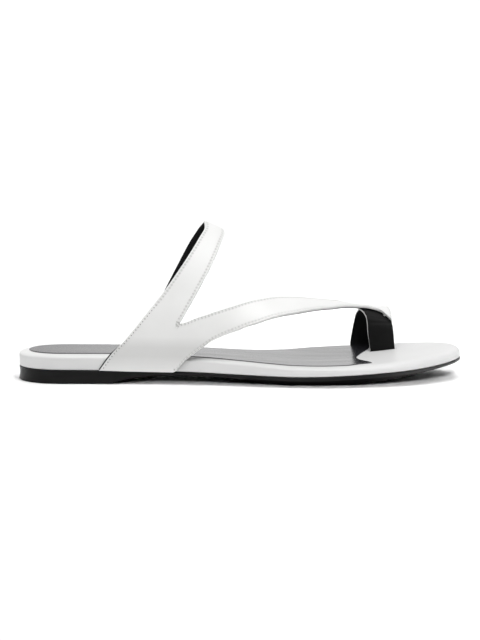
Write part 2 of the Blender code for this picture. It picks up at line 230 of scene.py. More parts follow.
# Studio light: all round, overhead, and low from the front
WORLD_EVEN = 0.27
WORLD_UP = 0.4
WORLD_BACK = 0.45
OVERHEAD_STRENGTH = 2.45
OVERHEAD_ANGLE_DEG = 45.0
OVERHEAD_TILT_DEG = (22.0, 0.0, 8.0)
FRONT_WATTS = 600.0
FRONT_RADIUS = 0.2
FRONT_CONE_DEG = 9.0
FRONT_BLEND = 0.8
FRONT_RISE_DEG = 20.0
FRONT_DISTANCE = 2.0
FRONT_TARGET = (0.125, -0.04, 0.0)

# Floor of white acrylic
FLOOR_SIDE = 60.0
FLOOR_Z = -0.0001
FLOOR_COLOUR = (0.84, 0.84, 0.84, 1.0)
FLOOR_ROUGHNESS = 0.9
FLOOR_SPECULAR = 0.1
FLOOR_DEPTH_MM = 5.0

# Camera
CAMERA_RISE_DEG = 6.8
CAMERA_DISTANCE = 1.7
CAMERA_REACH = 100.0
CAMERA_TARGET = (0.0, -0.00235, 0.0329)
PIXEL_MM = 0.5655
IMAGE_HEIGHT = 640
SENSOR = 36.0

# Mesh density of the sole
OUTLINE_POINTS = 480
OUTLINE_SAMPLES = 4001
LADDER_STEPS = 24
ROUND_STEPS = 8
SOLE_ROUND_STEPS = 4
SOLE_SIDE_STEPS = 8
BED_SIDE_STEPS = 6
BEVEL_SHARES = (0.03, 0.1, 0.3, 0.6, 0.9, 1.0)

# Mesh density of the straps: columns at fixed distances in from their edges, and rows at even steps
EDGE_STEPS = (0.0, 0.05, 0.16, 0.34, 0.6, 0.9, 1.15, STITCH_IN, 1.65, 1.95, 2.4)
STITCH_COLUMN = EDGE_STEPS.index(STITCH_IN)
MIDDLE_STEPS = 14
ACROSS_SAMPLES = 41
ALONG_SAMPLES = 801
SEAM_SAMPLES = 401
ROW_STEP = 0.42
SEAM_BLEND = 12.0
ARC_STEPS = 60

# Mesh density of the post, the sock and the thread: the sock's edge columns are closer where it is narrow
POST_STEPS = 70
POST_ACROSS = 14
POST_WIDTH = 13.0
POST_EDGE_STEPS = (0.0, 0.05, 0.14, 0.3, 0.6, 1.0)
SOCK_ROWS = 150
SOCK_ACROSS = 100
SOCK_EDGE_SHARE = 0.5
SOCK_EDGE_END = 1.5
SOCK_NARROW = 6.0
SOCK_FRONT_ROWS = 40
THREAD_SIDES = 6
THREAD_RINGS = 6
THREAD_TURNS = np.linspace(0, 2 * np.pi, THREAD_SIDES, endpoint=False)
SHARP_DEG = 40.0
THREAD_SHARP_DEG = 60.0
TINY = 1e-12

# Sole by station: half widths, heights of the tread and of the side's lower edge, width of the bevel
# between them, and heights of the side's upper edge and of the bed
SOLE = Table(
    "station outer inner tread edge bevel sole_top bed_top",
    (0, 26.0, 26.0, 0.0, 0.5, 0.5, 7.6, 16.2),
    (25, 26.0, 26.0, 0.0, 0.5, 0.5, 7.5, 16.2),
    (52, 26.4, 25.2, 0.0, 0.5, 0.5, 7.4, 16.2),
    (60, 26.8, 24.6, 2.0, 2.6, 0.8, 7.4, 16.1),
    (74, 28.0, 23.6, 4.3, 4.9, 1.2, 7.3, 15.8),
    (88, 29.5, 23.0, 4.9, 5.6, 2.0, 7.2, 15.4),
    (105, 32.0, 22.3, 4.5, 5.2, 4.0, 6.8, 14.8),
    (125, 36.3, 24.5, 2.8, 4.4, 8.0, 6.2, 13.5),
    (142, 41.0, 30.5, 0.9, 4.1, 10.5, 5.9, 12.4),
    (155, 43.6, 38.0, 0.0, 3.9, 12.0, 5.8, 11.7),
    (170, 44.5, 44.5, 0.0, 4.0, 12.5, 6.0, 11.5),
    (185, 44.0, 47.5, 0.0, 4.6, 12.0, 6.5, 11.8),
    (200, 44.0, 47.5, 1.9, 5.5, 10.0, 7.3, 12.5),
    (220, 44.0, 47.5, 5.2, 7.0, 7.5, 8.5, 14.2),
    (235, 44.0, 47.5, 7.6, 8.5, 4.5, 9.9, 15.9),
    (250, 44.0, 47.5, 10.1, 10.5, 3.0, 11.7, 18.0),
)

# Last by station: the outer foot of its arch (held at the bed's edge up to the ball, then drawn in to the
# side of the big toe), the crest at the instep and along the toes, and how full each half of the section is
LAST = Table(
    "station foot crest_y crest_z outer_power inner_power",
    (40, -60.0, 2.0, 111.0, 1.65, 2.2),
    (75, -60.0, 2.0, 101.0, 1.65, 2.2),
    (105, -60.0, 3.0, 87.1, 1.62, 2.2),
    (115, -60.0, 3.0, 82.3, 1.6, 2.2),
    (125, -60.0, 4.0, 68.0, 1.6, 2.1),
    (140, -60.0, 6.0, 56.0, 1.65, 2.0),
    (153, -60.0, 9.0, 49.3, 1.75, 2.0),
    (168, -44.0, 15.0, 43.0, 2.0, 2.2),
    (176, -36.0, 18.0, 40.8, 2.3, 2.2),
    (185, -10.0, 23.0, 38.7, 2.9, 2.2),
    (192, 9.0, 28.0, 37.1, 3.0, 2.2),
    (198, 15.6, 31.0, 36.5, 2.9, 2.2),
    (204, 17.2, 32.0, 35.7, 2.7, 2.2),
    (216, 19.6, 33.0, 34.8, 2.5, 2.2),
)

# Instep strap, from its outer base over the crest to its inner base. Row 4 is the fork with the toe strap
INSTEP_FORK = 4
INSTEP = Table(
    "row rear_station rear_girth front_station front_girth",
    (0, 46.5, 0.000, 70.0, 0.000),
    (1, 53.6, 0.045, 76.5, 0.046),
    (2, 60.3, 0.078, 82.5, 0.080),
    (3, 68.8, 0.130, 88.0, 0.115),
    (4, 77.4, 0.188, 91.4, 0.142),
    (5, 82.8, 0.227, 96.8, 0.197),
    (6, 89.7, 0.288, 102.4, 0.261),
    (7, 96.0, 0.353, 108.8, 0.344),
    (8, 101.2, 0.419, 113.3, 0.426),
    (9, 104.9, 0.485, 115.4, 0.493),
    (10, 103.9, 0.533, 114.8, 0.529),
    (11, 100.8, 0.576, 112.7, 0.582),
    (12, 96.4, 0.627, 109.4, 0.642),
    (13, 90.0, 0.705, 102.8, 0.722),
    (14, 82.9, 0.786, 96.4, 0.804),
    (15, 75.8, 0.865, 90.5, 0.880),
    (16, 68.6, 0.941, 87.0, 0.951),
    (17, 65.0, 1.000, 86.0, 1.000),
)

# Toe strap, from the fork across the toes, over the big toe and down to the inner edge of the sole
TOE_STRAP = Table(
    "row rear_station rear_girth front_station front_girth",
    (0, 91.4, 0.142, 70.0, 0.000),
    (1, 95.3, 0.150, 79.0, 0.000),
    (2, 99.5, 0.163, 87.8, 0.000),
    (3, 103.0, 0.174, 95.0, 0.036),
    (4, 106.5, 0.183, 102.5, 0.070),
    (5, 111.0, 0.197, 110.0, 0.104),
    (6, 113.4, 0.204, 113.5, 0.116),
    (7, 116.4, 0.216, 117.7, 0.133),
    (8, 119.5, 0.234, 122.0, 0.155),
    (9, 124.6, 0.271, 128.9, 0.191),
    (10, 130.0, 0.304, 136.0, 0.223),
    (11, 135.6, 0.336, 142.7, 0.257),
    (12, 141.0, 0.367, 149.0, 0.284),
    (13, 145.8, 0.395, 154.6, 0.306),
    (14, 150.5, 0.418, 160.0, 0.333),
    (15, 160.0, 0.476, 171.0, 0.398),
    (16, 168.0, 0.543, 180.0, 0.426),
    (17, 174.5, 0.587, 187.1, 0.436),
    (18, 180.2, 0.606, 193.6, 0.441),
    (19, 185.2, 0.600, 200.0, 0.429),
    (20, 189.8, 0.588, 205.0, 0.406),
    (21, 193.4, 0.590, 209.0, 0.357),
    (22, 195.2, 0.607, 211.8, 0.318),
    (23, 194.8, 0.629, 211.7, 0.389),
    (24, 193.6, 0.651, 210.7, 0.483),
    (25, 192.3, 0.692, 210.9, 0.597),
    (26, 191.3, 0.760, 212.3, 0.693),
    (27, 190.2, 0.839, 212.8, 0.809),
    (28, 189.2, 0.917, 213.0, 0.905),
    (29, 188.6, 1.000, 212.6, 1.000),
)

# Toe post, from its tail in the slot to its top under the toe strap
TOE_POST = Table(
    "girth rear_station front_station",
    (0.006, 200.0, 213.9),
    (0.070, 199.8, 213.8),
    (0.142, 199.1, 213.4),
    (0.220, 198.4, 213.0),
    (0.276, 198.2, 212.6),
    (0.333, 197.8, 211.8),
    (0.383, 196.6, 211.0),
    (0.435, 195.0, 210.4),
    (0.510, 193.0, 209.5),
)

# Front edge of the insole, across the foot
INSOLE_FRONT = Table(
    "y station",
    (-50, 172.0),
    (-38.8, 183.0),
    (-36.4, 186.7),
    (-33, 191.8),
    (-30.6, 198.5),
    (-26, 197.4),
    (-20, 194.2),
    (-12, 191.4),
    (-5, 190.8),
    (8, 193.3),
    (18, 196.4),
    (30, 199.4),
    (54, 201.0),
)


def along(table, name, at):
    """A column's value at a place along the first column, on a smooth curve that stays between its rows."""
    places = np.array([row[0] for row in table.rows], float)
    values = np.array([row[table.columns.index(name)] for row in table.rows], float)
    step = np.diff(places)
    rise = np.diff(values) / step
    keeps = rise[:-1] * rise[1:] > 0
    before = np.where(keeps, rise[:-1], 1.0)
    after = np.where(keeps, rise[1:], 1.0)
    weight_before = 2 * step[1:] + step[:-1]
    weight_after = step[1:] + 2 * step[:-1]
    mean = (weight_before + weight_after) / (weight_before / before + weight_after / after)
    slope = np.concatenate([rise[:1], np.where(keeps, mean, 0.0), rise[-1:]])
    at = np.clip(np.asarray(at, float), places[0], places[-1])
    k = np.clip(np.searchsorted(places, at) - 1, 0, len(step) - 1)
    t = (at - places[k]) / step[k]
    start = (1 + 2 * t) * (1 - t) ** 2 * values[k] + t * (1 - t) ** 2 * step[k] * slope[k]
    end = t * t * (3 - 2 * t) * values[k + 1] + t * t * (t - 1) * step[k] * slope[k + 1]
    return start + end


def rounded(share, power):
    """Half width left at a share of the way into a rounded end."""
    return np.sqrt(1 - np.clip(share, 0, 1) ** power)


def sides(station):
    """Y of the outer and the inner edge of the sole."""
    station = np.asarray(station, float)
    heel = rounded((HEEL_CAP - station) / HEEL_CAP, HEEL_POWER)
    outer = -along(SOLE, "outer", station) * heel - TIP_Y
    inner = along(SOLE, "inner", station) * heel - TIP_Y
    outer_toe = rounded((station - LENGTH + OUTER_CAP) / OUTER_CAP, OUTER_POWER)
    inner_toe = rounded((station - LENGTH + INNER_CAP) / INNER_CAP, INNER_POWER)
    return TIP_Y + outer * outer_toe, TIP_Y + inner * inner_toe


def bed_top(station, y):
    """Height of the footbed's top."""
    share = np.interp(station, RISE_STATION, (0, 1))
    return along(SOLE, "bed_top", station) + RISE * share * np.maximum(y, 0) / RISE_HALF


def last(station, girth):
    """Points on the last: up the side of the bed, over the crest and down the other side of the bed."""
    station, girth = np.broadcast_arrays(np.asarray(station, float), np.asarray(girth, float))
    shape = station.shape
    station = station.ravel()
    girth = girth.ravel()
    outer, inner = sides(station)
    outer = np.maximum(outer + BED_INSET - GAP, along(LAST, "foot", station))
    foot = np.stack([outer, inner - BED_INSET + GAP])
    power = 2 / np.stack([along(LAST, "outer_power", station), along(LAST, "inner_power", station)])
    crest_y = along(LAST, "crest_y", station)
    crest_z = along(LAST, "crest_z", station)
    bed = bed_top(station, foot)
    side = bed - along(SOLE, "sole_top", station) - GAP
    angle = np.linspace(0, np.pi / 2, ARC_STEPS + 1)[:, None, None]
    ys = crest_y + (foot - crest_y) * np.cos(angle) ** power
    zs = bed + (crest_z - bed) * np.sin(angle) ** power
    pieces = np.hypot(np.diff(ys, axis=0), np.diff(zs, axis=0))
    run = np.concatenate([np.zeros((1,) + foot.shape), np.cumsum(pieces, axis=0)])
    length = side + run[-1]
    whole = length.sum(axis=0)
    climb = girth * whole
    half = (climb > length[0]).astype(int)
    each = np.arange(len(station))
    climb = np.where(half == 1, whole - climb, climb) - side[half, each]
    mine = run[:, half, each]
    k = np.clip((mine < climb).sum(axis=0) - 1, 0, ARC_STEPS - 1)
    t = np.clip((climb - mine[k, each]) / (mine[k + 1, each] - mine[k, each]), 0, 1)
    turn = (k + t) / ARC_STEPS * np.pi / 2
    foot = foot[half, each]
    bed = bed[half, each]
    power = power[half, each]
    y = crest_y + (foot - crest_y) * np.cos(turn) ** power
    z = bed + (crest_z - bed) * np.sin(turn) ** power + np.minimum(climb, 0)
    return np.stack([station, y, z], -1).reshape(shape + (3,))


def outline(count):
    """Plan of the sole as a loop: from the heel along the outer side to the tip, and back."""
    station = LENGTH * (1 - np.cos(np.linspace(0, np.pi, OUTLINE_SAMPLES))) / 2
    halves = []
    for y in sides(station):
        line = np.stack([station, y], -1)
        run = run_of(line)
        halves.append(points_at(np.linspace(0, run[-1], count // 2 + 1), run, line))
    return np.concatenate([halves[0][:-1], halves[1][:0:-1]])


def run_of(line):
    """Distance run along a line, at each of its points."""
    return np.concatenate([[0], np.cumsum(np.linalg.norm(np.diff(line, axis=0), axis=1))])


def points_at(at, run, line):
    """Points at some distances along a line."""
    return np.stack([np.interp(at, run, column) for column in line.T], -1)


def unit(vector):
    """Vectors brought to length 1."""
    return vector / np.linalg.norm(vector, axis=-1, keepdims=True)


def inset(loop, distance):
    """The loop moved inwards."""
    ahead = np.roll(loop, -1, axis=0) - np.roll(loop, 1, axis=0)
    inward = unit(np.stack([-ahead[:, 1], ahead[:, 0]], -1))
    return loop + inward * np.broadcast_to(distance, len(loop))[:, None]


def fading(distance, reach):
    """1 at no distance, fading to 0 at the reach."""
    return np.clip(1 - distance / reach, 0, 1) ** 2


def level(loop, z):
    """The loop at a height."""
    return np.column_stack([loop, np.broadcast_to(z, len(loop))])


def bed_loop(loop, distance):
    """The footbed's plan, drawn in further by a distance."""
    heel = HEEL_BED_IN * fading(loop[:, 0], HEEL_BACK)
    toe = TOE_BED_IN * fading(LENGTH - loop[:, 0], TOE_FRONT)
    return inset(loop, BED_INSET + heel + toe + distance)


def placed(name, data):
    """A new object in the scene."""
    made = bpy.data.objects.new(name, data)
    bpy.context.scene.collection.objects.link(made)
    return made


def add(name, points, faces, material, sharp_deg=SHARP_DEG):
    """A smooth-shaded piece of the object from points in millimetres."""
    points = (np.asarray(points, float) - (LENGTH / 2, ROW_Y, 0)) * METRE
    mesh = bpy.data.meshes.new(name)
    mesh.from_pydata(points.tolist(), [], [tuple(face) for face in faces])
    mesh.update()
    mesh.shade_smooth()
    mesh.set_sharp_from_angle(angle=math.radians(sharp_deg))
    mesh.materials.append(material)
    return placed(name, mesh)


def slab(name, rings, top, bottom, material):
    """A solid of loops from its top to its bottom, closed by rungs that follow the two surfaces."""
    count = len(rings[0])
    points = np.concatenate(rings)
    faces = []
    for row in range(len(rings) - 1):
        near = row * count + np.arange(count)
        ahead = row * count + (np.arange(count) + 1) % count
        faces += np.stack([near, near + count, ahead + count, ahead], -1).tolist()
    share = np.arange(1, LADDER_STEPS) / LADDER_STEPS
    for row, surface in ((0, top), (len(rings) - 1, bottom)):
        first = row * count
        start = rings[row][1 : count // 2, None, :2]
        end = rings[row][: count // 2 : -1, None, :2]
        rungs = (start + share[:, None] * (end - start)).reshape(-1, 2)
        filled = np.column_stack([rungs, surface(*rungs.T)])
        inner = len(points) + np.arange(len(filled)).reshape(-1, LADDER_STEPS - 1)
        points = np.concatenate([points, filled])
        near = first + np.arange(1, count // 2)
        far = first + np.arange(count - 1, count // 2, -1)
        ladder = np.column_stack([near, inner, far])
        corners = ladder[:-1, :-1], ladder[1:, :-1], ladder[1:, 1:], ladder[:-1, 1:]
        quads = np.stack(corners, -1).reshape(-1, 4)
        ends = [(first, ladder[0, k], ladder[0, k + 1]) for k in range(LADDER_STEPS)]
        tip = first + count // 2
        ends += [(tip, ladder[-1, k + 1], ladder[-1, k]) for k in range(LADDER_STEPS)]
        caps = quads.tolist() + ends
        faces += caps if row == 0 else [face[::-1] for face in caps]
    return add(name, points, faces, material)


def grid_faces(index):
    """Quads over a grid of point numbers."""
    return np.stack([index[:-1, :-1], index[:-1, 1:], index[1:, 1:], index[1:, :-1]], -1).reshape(-1, 4)


def tube_faces(index):
    """Faces of a closed tube over rings of point numbers."""
    around = grid_faces(np.column_stack([index, index[:, 0]])).tolist()
    return around + [index[0, ::-1].tolist(), index[-1].tolist()]


def normals_of(points, faces):
    """Unit normals at the points of a sheet of quads."""
    corner = points[faces]
    face = np.cross(corner[:, 2] - corner[:, 0], corner[:, 3] - corner[:, 1])
    total = np.zeros_like(points)
    for k in range(4):
        np.add.at(total, faces[:, k], face)
    return unit(total)


def rim_of(faces):
    """Edges of a sheet of quads that belong to one face, each in its face's direction."""
    edges = np.concatenate([faces[:, [k, (k + 1) % 4]] for k in range(4)])
    keys = np.sort(edges, axis=1)
    _, first, count = np.unique(keys, axis=0, return_index=True, return_counts=True)
    return edges[first[count == 1]]


def walled(points, faces, low, high):
    """Points and faces of the closed wall between two heights over a sheet."""
    normals = normals_of(points, faces)
    count = len(points)
    low = points + normals * np.broadcast_to(low, count)[:, None]
    high = points + normals * np.broadcast_to(high, count)[:, None]
    rim = rim_of(faces)
    around = np.column_stack([rim[:, ::-1], rim + count])
    return np.concatenate([low, high]), np.concatenate([faces[:, ::-1], faces + count, around])


def distance_to(points, lines):
    """Distance from each point to the nearest of some lines."""
    best = np.full(len(points), np.inf)
    for line in lines:
        for a, b in zip(line[:-1], line[1:]):
            ray = b - a
            reach = max(float(ray @ ray), TINY)
            share = np.clip((points - a) @ ray / reach, 0, 1)
            gap = points - a - share[:, None] * ray
            best = np.minimum(best, np.einsum("ij,ij->i", gap, gap))
    return np.sqrt(best)


def round_edge(distance, radius):
    """How far a rounded edge drops below the flat, at a distance in from the edge."""
    inside = np.clip(radius - distance, 0, radius)
    return radius - np.sqrt(radius**2 - inside**2)


# Materials


def fill(tree, target, inputs):
    """Sets a node's inputs, or links them to other nodes' outputs."""
    for name, value in inputs.items():
        if isinstance(value, bpy.types.NodeSocket):
            tree.links.new(value, target.inputs[name])
        else:
            target.inputs[name].default_value = value


def node(tree, kind, inputs=None, **values):
    """A new node with its values and inputs set."""
    made = tree.nodes.new(kind)
    for name, value in values.items():
        setattr(made, name, value)
    fill(tree, made, inputs or {})
    return made


def new_material(name, coat=0.0, coat_roughness=0.2, specular=0.5, sheen=0.0):
    """A material with its even values set on the shader, and the tree and shader to link the rest to."""
    made = bpy.data.materials.new(name)
    made.use_nodes = True
    tree = made.node_tree
    shader = tree.nodes["Principled BSDF"]
    even = {"Coat Weight": coat, "Coat Roughness": coat_roughness}
    fill(tree, shader, even | {"Specular IOR Level": specular, "Sheen Weight": sheen})
    return made, tree, shader


def places_on(tree):
    """Places on a piece, in metres."""
    return node(tree, "ShaderNodeTexCoord").outputs["Object"]


def noise(tree, place, size, detail=3.0):
    """Noise with features of a size in millimetres."""
    inputs = {"Vector": place, "Scale": 1 / (size * METRE), "Detail": detail}
    return node(tree, "ShaderNodeTexNoise", inputs).outputs["Fac"]


def cells(tree, place, size, smooth=0.6):
    """Rounded cells of a size in millimetres."""
    inputs = {"Vector": place, "Scale": 1 / (size * METRE), "Smoothness": smooth}
    return node(tree, "ShaderNodeTexVoronoi", inputs, feature="SMOOTH_F1").outputs["Distance"]


def axis_of(tree, vector, axis):
    """One axis of a vector."""
    return node(tree, "ShaderNodeSeparateXYZ", {"Vector": vector}).outputs[axis]


def stretched(tree, place, scale):
    """Places scaled along each axis."""
    return node(tree, "ShaderNodeMapping", {"Vector": place, "Scale": scale}).outputs["Vector"]


def spread(tree, value, low, high, start=0.3, end=0.7):
    """A range of values, a texture's middle range if none is given, stretched between two others."""
    inputs = {"Value": value, "From Min": start, "From Max": end, "To Min": low, "To Max": high}
    return node(tree, "ShaderNodeMapRange", inputs).outputs["Result"]


def mixed(tree, share, first, second, blend="MIX"):
    """Two colours mixed: each is a colour or another node's output."""
    made = node(tree, "ShaderNodeMix", {"Factor": share}, data_type="RGBA", blend_type=blend)
    sockets = [k for k, socket in enumerate(made.inputs) if socket.type == "RGBA"]
    colours = [c + (1.0,) if isinstance(c, tuple) else c for c in (first, second)]
    fill(tree, made, dict(zip(sockets, colours)))
    return [socket for socket in made.outputs if socket.type == "RGBA"][0]


def painted_along(tree, place, table, colour):
    """Painted light and shade on a colour: darkened along one axis as a table says."""
    start = table.rows[0][0]
    end = table.rows[-1][0]
    axis = axis_of(tree, place, table.columns[0].upper())
    ramp = node(tree, "ShaderNodeValToRGB", {"Fac": spread(tree, axis, 0.0, 1.0, start, end)})
    stops = ramp.color_ramp.elements
    while len(stops) < len(table.rows):
        stops.new(0.5)
    for stop, (at, share) in zip(stops, table.rows):
        stop.position = (at - start) / (end - start)
        stop.color = (share, share, share, 1.0)
    return mixed(tree, 1.0, colour, ramp.outputs["Color"], "MULTIPLY")


def bumps(tree, heights):
    """Relief from several heights, each given with its depth in millimetres."""
    below = {}
    for height, depth in heights:
        inputs = {"Height": height, "Distance": depth * METRE}
        below = {"Normal": node(tree, "ShaderNodeBump", inputs | below).outputs["Normal"]}
    return below["Normal"]


def leather(name, light, dark, gloss, grain, grain_depth, pitted=False, shine=None, painted_light=None, **finish):
    """Leather: two close tones in soft clouds, a fine cell grain with pores and an uneven gloss; where
    asked, painted light and shade along one axis and painted shade in the stitch pits.
    """
    made, tree, shader = new_material(name, **finish)
    place = places_on(tree)
    clouds = noise(tree, place, CLOUD_SIZE, CLOUD_DETAIL)
    swells = noise(tree, place, SWELL_SIZE, FINE_DETAIL)
    fine = noise(tree, place, grain * FINE_SIZE_SHARE, FINE_DETAIL)
    colour = mixed(tree, spread(tree, clouds, 0.0, 1.0), light, dark)
    # Painted light and shade along one axis, from a table
    if painted_light:
        colour = painted_along(tree, place, painted_light, colour)
    # Painted shade in the pits at the ends of the stitches
    if pitted:
        pit = node(tree, "ShaderNodeAttribute", attribute_name="pit").outputs["Fac"]
        colour = mixed(tree, pit, colour, PIT_PAINTED_SHADE)
    grained = (cells(tree, place, grain), grain_depth)
    relief = bumps(tree, ((swells, SWELL_DEPTH), grained, (fine, grain_depth * FINE_DEPTH_SHARE)))
    fill(tree, shader, {"Base Color": colour, "Roughness": spread(tree, fine, *gloss), "Normal": relief})
    if shine:
        streaks = noise(tree, stretched(tree, place, SHINE_STRETCH), SHINE_STREAK)
        grown = spread(tree, axis_of(tree, place, "X"), *shine, *SHINE_X)
        worn = {0: grown, 1: spread(tree, streaks, *SHINE_WEAR)}
        coat = node(tree, "ShaderNodeMath", worn, operation="MULTIPLY").outputs[0]
        fill(tree, shader, {"Coat Weight": coat})
    return made


def rubber(name, light, dark, gloss, painted_light, specular):
    """Moulded rubber: a nearly even colour of its own, a fine matt skin and faint smears along the sole,
    with painted light at the toe and painted shade where it faces down.
    """
    made, tree, shader = new_material(name, specular=specular)
    place = places_on(tree)
    smears = noise(tree, stretched(tree, place, SMEAR_STRETCH), SMEAR_SIZE)
    skin = noise(tree, place, SKIN_SIZE)
    colour = mixed(tree, spread(tree, smears, 0.0, 1.0), light, dark)
    # Painted shade: the rubber's reflection is taken away where it faces down
    facing = axis_of(tree, node(tree, "ShaderNodeNewGeometry").outputs["Normal"], "Z")
    inputs = {
        "Base Color": painted_along(tree, place, painted_light, colour),
        "Roughness": spread(tree, smears, *gloss),
        "Specular IOR Level": spread(tree, facing, 0.0, specular, *DOWN_FACING_SHADE),
        "Normal": bumps(tree, ((skin, SKIN_DEPTH), (smears, SMEAR_DEPTH))),
    }
    fill(tree, shader, inputs)
    return made


def thread(name, light, dark, gloss, **finish):
    """Sewing thread: a twist of fine plies."""
    made, tree, shader = new_material(name, **finish)
    plies = noise(tree, places_on(tree), PLY_SIZE, PLY_DETAIL)
    colour = mixed(tree, spread(tree, plies, 0.0, 1.0), light, dark)
    relief = bumps(tree, ((plies, PLY_DEPTH),))
    fill(tree, shader, {"Base Color": colour, "Roughness": spread(tree, plies, *gloss), "Normal": relief})
    return made


# Pieces


def build_outsole(loop, material):
    """Black rubber unit: a thin side band over an undercut tread, and a low heel."""
    station = loop[:, 0]
    top = along(SOLE, "sole_top", station)
    edge = along(SOLE, "edge", station)
    tread = along(SOLE, "tread", station)
    bevel = along(SOLE, "bevel", station)
    back = fading(station, HEEL_BACK)
    pinch_z = edge + HEEL_PINCH_SHARE * (top - edge)
    upper_edge = inset(loop, HEEL_TOP_IN * back)
    rings = [level(inset(upper_edge, reach), top) for reach in (CAP_IN, SOLE_TOP_IN)]
    for turn in np.linspace(0, np.pi / 2, SOLE_ROUND_STEPS + 1):
        reach = SOLE_EDGE * (1 - np.sin(turn))
        rings.append(level(inset(upper_edge, reach), top - SOLE_EDGE * (1 - np.cos(turn))))
    shares = np.linspace(0, 1, SOLE_SIDE_STEPS + 1)[1:]
    for share in shares:
        pull = (HEEL_TOP_IN + (HEEL_PINCH - HEEL_TOP_IN) * np.sin(share * np.pi / 2)) * back
        rings.append(level(inset(loop, pull), top - SOLE_EDGE + share * (pinch_z - top + SOLE_EDGE)))
    for share in shares:
        pull = HEEL_PINCH * np.cos(share * np.pi / 2) * back
        rings.append(level(inset(loop, pull), pinch_z + share * (edge - pinch_z)))
    for share in BEVEL_SHARES:
        rings.append(level(inset(loop, bevel * share), edge + (tread - edge) * share))
    rings.append(level(inset(loop, bevel + TREAD_IN), tread))
    for ring, column in ((rings[0], "sole_top"), (rings[-2], "tread"), (rings[-1], "tread")):
        ring[:, 2] = along(SOLE, column, ring[:, 0])

    def top_surface(x, y):
        return along(SOLE, "sole_top", x)

    def tread_surface(x, y):
        return along(SOLE, "tread", x)

    return slab("outsole_moulded", rings, top_surface, tread_surface, material)


def build_footbed(loop, material):
    """The board wrapped in white leather, with a soft rim and a slot for the toe post."""

    def underside(x, y):
        return along(SOLE, "sole_top", x) + GAP

    def ring(distance, part, share):
        """A loop at a share of the way down one part of the side."""
        plan = bed_loop(loop, distance)
        top = bed_top(*plan.T)
        bottom = underside(*plan.T)
        drop = np.minimum(BED_ROUND, BED_ROUND_SHARE * (top - bottom))
        soft = np.interp(plan[:, 0], TOE_ROUND_STATION, (0, 1))
        drop += soft * (TOE_ROUND_SHARE * (top - bottom) - BED_FOOT - drop)
        foot = np.minimum(BED_FOOT, BED_ROUND_SHARE * (top - bottom))
        heights = (top, top - drop, bottom + foot, bottom)
        return level(plan, heights[part] + share * (heights[part + 1] - heights[part]))

    rim, wall, base = range(3)
    turns = np.linspace(0, np.pi / 2, ROUND_STEPS + 1)
    rings = [ring(CAP_IN, rim, 0)]
    rings += [ring(BED_REACH * (1 - np.sin(turn)), rim, 1 - np.cos(turn)) for turn in turns]
    rings += [ring(0, wall, share) for share in np.linspace(0, 1, BED_SIDE_STEPS + 1)[1:]]
    rings += [ring(BED_FOOT * (1 - np.cos(turn)), base, np.sin(turn)) for turn in turns[1:]]
    rings.append(ring(CAP_IN, base, 1))
    bed = slab("footbed_wrap", rings, bed_top, underside, material)
    corners = [(x, y, z) for x, ys in zip(SLOT_STATION, SLOT_Y) for y in ys for z in SLOT_Z]
    walls = [(0, 1, 3, 2), (4, 6, 7, 5), (0, 4, 5, 1), (2, 3, 7, 6), (0, 2, 6, 4), (1, 5, 7, 3)]
    cut(bed, add("slot_cutter", corners, walls, material))
    return bed


def cut(target, cutter):
    """Takes the cutter's shape out of a piece, and removes the cutter."""
    modifier = target.modifiers.new("cut", "BOOLEAN")
    modifier.operation = "DIFFERENCE"
    modifier.solver = "EXACT"
    modifier.object = cutter
    graph = bpy.context.evaluated_depsgraph_get()
    target.data = bpy.data.meshes.new_from_object(target.evaluated_get(graph))
    target.modifiers.clear()
    bpy.data.objects.remove(cutter)


def sock_side(line):
    """One side of the sock, cut off at its front edge, with points close together there."""
    ahead = line[:, 0] - along(INSOLE_FRONT, "station", line[:, 1])
    stop = int(np.argmax(ahead > 0))
    share = -ahead[stop - 1] / (ahead[stop] - ahead[stop - 1])
    corner = line[stop - 1] + share * (line[stop] - line[stop - 1])
    line = np.concatenate([line[:stop], [corner]])
    run = run_of(line)
    near_front = np.array(EDGE_STEPS) * SOCK_EDGE_SHARE
    from_front = np.concatenate([near_front, np.linspace(SOCK_EDGE_END, run[-1], SOCK_ROWS)])
    return points_at(np.sort(run[-1] - from_front), run, line)


def build_insole(loop, material):
    """The black leather sock: a thin sheet on the bed, with a cut edge and a concave front."""
    plan = bed_loop(loop, INSOLE_RIM)
    half = len(plan) // 2
    outer = sock_side(plan[: half + 1])
    inner = sock_side(np.concatenate([plan[:1], plan[: half - 1 : -1]]))
    width = np.linalg.norm(inner - outer, axis=1)[:, None]
    edge = np.array(EDGE_STEPS)[None, :] * SOCK_EDGE_SHARE * np.clip(width / SOCK_NARROW, 0, 1)
    reach = edge[:, -1:]
    middle = reach + (width - 2 * reach) * np.linspace(0, 1, SOCK_ACROSS)[1:-1]
    across = np.concatenate([edge, middle, width - edge[:, ::-1]], axis=1)
    share = across / np.maximum(width, TINY)
    grid = outer[:, None] + share[..., None] * (inner - outer)[:, None]
    ramp = fading(np.arange(len(grid))[::-1], SOCK_FRONT_ROWS)
    chord = grid[-1, 0, 0] + share * (grid[-1, -1, 0] - grid[-1, 0, 0])
    ys = grid[-1, 0, 1] + share * (grid[-1, -1, 1] - grid[-1, 0, 1])
    grid[..., 0] += ramp[:, None] * (along(INSOLE_FRONT, "station", ys) - chord)
    grid = grid[1:]
    points = grid.reshape(-1, 2)
    points = np.column_stack([points, bed_top(*points.T) + SOCK_LIFT])
    index = np.arange(len(points)).reshape(grid.shape[:2])
    faces = grid_faces(index)[:, ::-1]
    rim = [points[index[:, 0]], points[index[:, -1]], points[index[-1]]]
    drop = round_edge(distance_to(points, rim), SOCK_ROUND)
    return add("insole_sock", *walled(points, faces, 0.0, SOCK_WALL - drop), material)


